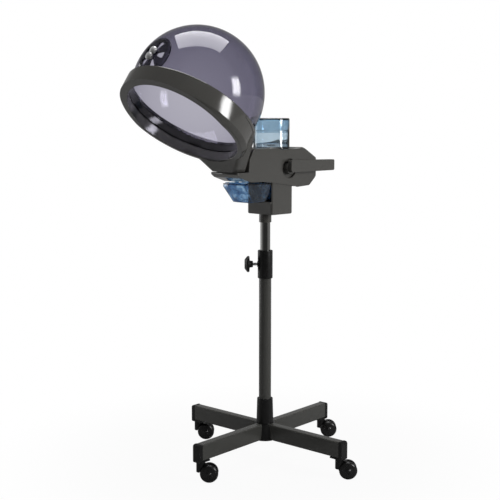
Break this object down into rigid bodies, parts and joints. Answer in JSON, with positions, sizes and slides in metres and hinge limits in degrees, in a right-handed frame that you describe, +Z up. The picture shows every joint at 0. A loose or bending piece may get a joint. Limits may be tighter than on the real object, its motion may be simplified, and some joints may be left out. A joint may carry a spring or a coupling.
{
  "type": "hood hair steamer",
  "caption": "Salon hair steamer: smoked domed hood with vent on a tilting arm with water tank and drip cup, on a height-adjustable mast with a cross base on casters.",
  "frame": {"origin": "on the floor, on the axis of the mast", "axes": "+Z up the mast, -Y towards the front of the hood, +X towards the tilt lever"},
  "size_m": [0.5951, 0.7613, 1.2168],
  "materials": {
    "charcoal_abs": "moulded charcoal ABS, satin",
    "ring_liner": "moulded charcoal ABS, polished",
    "black_plastic": "moulded black nylon, fine texture",
    "wheel_nylon": "moulded black nylon, glossy",
    "painted_steel": "dark grey powder coat",
    "black_chrome": "dark plated tube",
    "zinc_steel": "zinc plated",
    "stainless": "deep drawn stainless",
    "heater_sheath": "oxidised sheath",
    "smoked_acrylic": "blown smoked acrylic, clear gloss",
    "tank_clear_blue": "clear light blue SAN",
    "cup_deep_blue": "clear deep blue SAN",
    "silver_knob": "satin plated",
    "switch_red": "red polycarbonate",
    "lamp_red": "red lens"
  },
  "bodies": {
    "stand": {"base_hub": "black_plastic", "leg_right": "painted_steel", "leg_rear": "painted_steel", "leg_left": "painted_steel", "leg_front": "painted_steel", "leg_end_caps": "black_plastic", "lower_post": "painted_steel", "post_bush": "black_plastic", "clamp_collar": "black_plastic"},
    "caster_right": {"caster_fork_right": "black_plastic", "caster_axle_right": "zinc_steel"},
    "wheels_right": {"caster_wheels_right": "wheel_nylon"},
    "caster_rear": {"caster_fork_rear": "black_plastic", "caster_axle_rear": "zinc_steel"},
    "wheels_rear": {"caster_wheels_rear": "wheel_nylon"},
    "caster_left": {"caster_fork_left": "black_plastic", "caster_axle_left": "zinc_steel"},
    "wheels_left": {"caster_wheels_left": "wheel_nylon"},
    "caster_front": {"caster_fork_front": "black_plastic", "caster_axle_front": "zinc_steel"},
    "wheels_front": {"caster_wheels_front": "wheel_nylon"},
    "mast": {"inner_post": "black_chrome", "inner_foot": "black_plastic"},
    "clamp": {"clamp_knob": "black_plastic", "clamp_screw": "zinc_steel"},
    "head": {"box_shell": "charcoal_abs", "rear_cover": "charcoal_abs", "cover_screws": "zinc_steel", "cord_gland": "black_plastic", "tilt_bracket": "zinc_steel", "tilt_shaft": "zinc_steel", "friction_washers": "zinc_steel"},
    "arm": {"arm_shell_right": "charcoal_abs", "arm_shell_left": "charcoal_abs", "arm_screws": "zinc_steel", "boiler": "stainless", "boiler_lid": "stainless", "heater_element": "heater_sheath", "thermostat": "black_plastic", "steam_pipe": "stainless", "steam_diffuser": "black_plastic", "tank_seat": "charcoal_abs", "feed_tube": "stainless", "hood_ring": "charcoal_abs", "drip_ring": "ring_liner", "hood_dome": "smoked_acrylic", "vent_frame": "black_plastic", "timer_body": "black_plastic", "switch_frame": "black_plastic", "pilot_lamp": "lamp_red"},
    "lever": {"tilt_lever": "charcoal_abs"},
    "vent": {"vent_shutter": "black_plastic", "vent_knob": "silver_knob"},
    "tank": {"water_tank": "tank_clear_blue"},
    "lid": {"tank_lid": "tank_clear_blue"},
    "cup": {"drip_cup": "cup_deep_blue"},
    "timer": {"timer_knob": "black_plastic"},
    "switch": {"power_switch": "switch_red"}
  },
  "joints": [
    {"name": "caster_swivel_right", "type": "hinge", "parent": "stand", "child": "caster_right", "pos_m": [0.26743, 0.01753, 0.055], "axis": [0, 0, 1], "continuous": true},
    {"name": "wheel_roll_right", "type": "hinge", "parent": "caster_right", "child": "wheels_right", "pos_m": [0.28369, 0.03379, 0.025], "axis": [-0.7071, 0.7071, 0], "continuous": true},
    {"name": "caster_swivel_rear", "type": "hinge", "parent": "stand", "child": "caster_rear", "pos_m": [-0.01753, 0.26743, 0.055], "axis": [0, 0, 1], "continuous": true},
    {"name": "wheel_roll_rear", "type": "hinge", "parent": "caster_rear", "child": "wheels_rear", "pos_m": [-0.00127, 0.28369, 0.025], "axis": [-0.7071, 0.7071, 0], "continuous": true},
    {"name": "caster_swivel_left", "type": "hinge", "parent": "stand", "child": "caster_left", "pos_m": [-0.26743, -0.01753, 0.055], "axis": [0, 0, 1], "continuous": true},
    {"name": "wheel_roll_left", "type": "hinge", "parent": "caster_left", "child": "wheels_left", "pos_m": [-0.25116, -0.00127, 0.025], "axis": [-0.7071, 0.7071, 0], "continuous": true},
    {"name": "caster_swivel_front", "type": "hinge", "parent": "stand", "child": "caster_front", "pos_m": [0.01753, -0.26743, 0.055], "axis": [0, 0, 1], "continuous": true},
    {"name": "wheel_roll_front", "type": "hinge", "parent": "caster_front", "child": "wheels_front", "pos_m": [0.03379, -0.25116, 0.025], "axis": [-0.7071, 0.7071, 0], "continuous": true},
    {"name": "mast_height", "type": "slide", "parent": "stand", "child": "mast", "axis": [0, 0, 1], "range_m": [-0.07, 0.15]},
    {"name": "clamp_turn", "type": "hinge", "parent": "stand", "child": "clamp", "pos_m": [0, 0, 0.567], "axis": [-0.7071, -0.7071, 0], "range_deg": [0, 540]},
    {"name": "head_swivel", "type": "hinge", "parent": "mast", "child": "head", "pos_m": [0, 0, 0.71], "axis": [0, 0, 1], "range_deg": [-170, 170]},
    {"name": "arm_tilt", "type": "hinge", "parent": "head", "child": "arm", "pos_m": [0, 0.043, 0.838], "axis": [-1, 0, 0], "range_deg": [0, 20]},
    {"name": "lever_turn", "type": "hinge", "parent": "arm", "child": "lever", "pos_m": [0, 0.043, 0.838], "axis": [1, 0, 0], "range_deg": [0, 60]},
    {"name": "vent_turn", "type": "hinge", "parent": "arm", "child": "vent", "pos_m": [0, -0.40181, 1.13392], "axis": [0, -0.8511, 0.5251], "range_deg": [0, 36]},
    {"name": "tank_lift", "type": "slide", "parent": "arm", "child": "tank", "axis": [0, 0, 1], "range_m": [0, 0.06]},
    {"name": "lid_lift", "type": "slide", "parent": "tank", "child": "lid", "axis": [0, 0, 1], "range_m": [0, 0.05]},
    {"name": "cup_pull", "type": "slide", "parent": "head", "child": "cup", "axis": [0, -1, 0], "range_m": [0, 0.12]},
    {"name": "timer_turn", "type": "hinge", "parent": "arm", "child": "timer", "pos_m": [-0.0525, 0.114, 0.842], "axis": [-1, 0, 0], "range_deg": [0, 300]},
    {"name": "switch_rock", "type": "hinge", "parent": "arm", "child": "switch", "pos_m": [-0.048, 0.067, 0.868], "axis": [0, 0, 1], "range_deg": [0, 14]}
  ]
}
